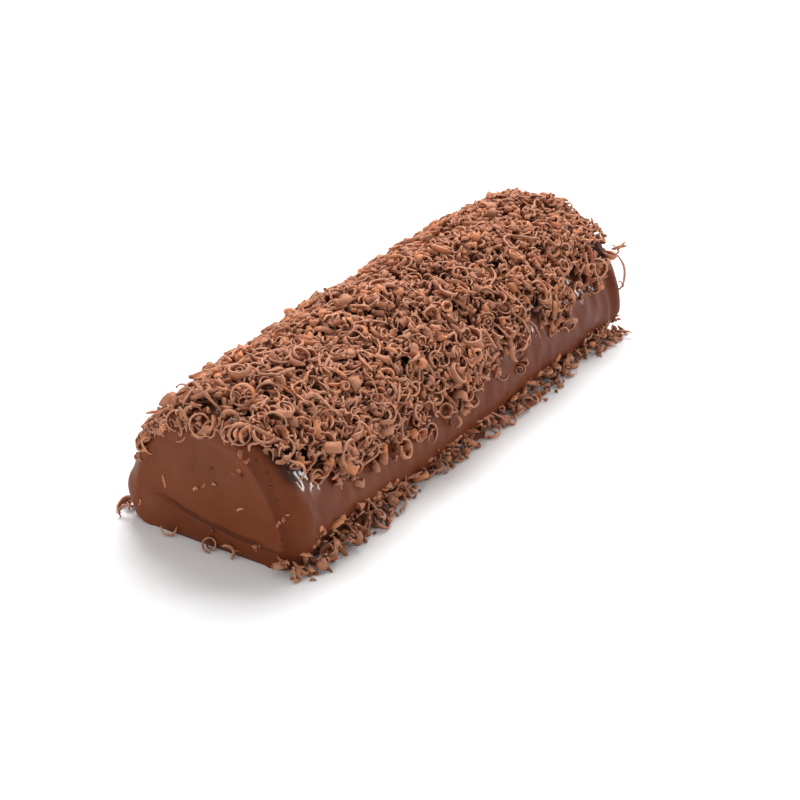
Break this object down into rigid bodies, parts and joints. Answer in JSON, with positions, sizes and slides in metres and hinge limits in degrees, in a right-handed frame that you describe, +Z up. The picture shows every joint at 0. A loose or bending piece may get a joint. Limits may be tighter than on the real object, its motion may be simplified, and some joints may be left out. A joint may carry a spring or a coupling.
{
  "type": "chocolate swiss roll",
  "caption": "Whole chocolate-glazed swiss roll, a long cake with a rounded back and flat underside, covered along its back with curled chocolate shavings.",
  "frame": {"origin": "middle of the roll's flat underside, at the height of the surface it rests on", "axes": "+Z up, +Y along the roll's length away from the end that the picture shows, +X across the roll to its glossy flank"},
  "size_m": [0.0962, 0.2788, 0.071],
  "materials": {
    "glaze": "glossy milk chocolate glaze, satin where it is spread over the ends",
    "shavings": "matte milk chocolate curls with paler edges"
  },
  "bodies": {
    "root": {"swiss_roll": "glaze"}
  },
  "joints": []
}
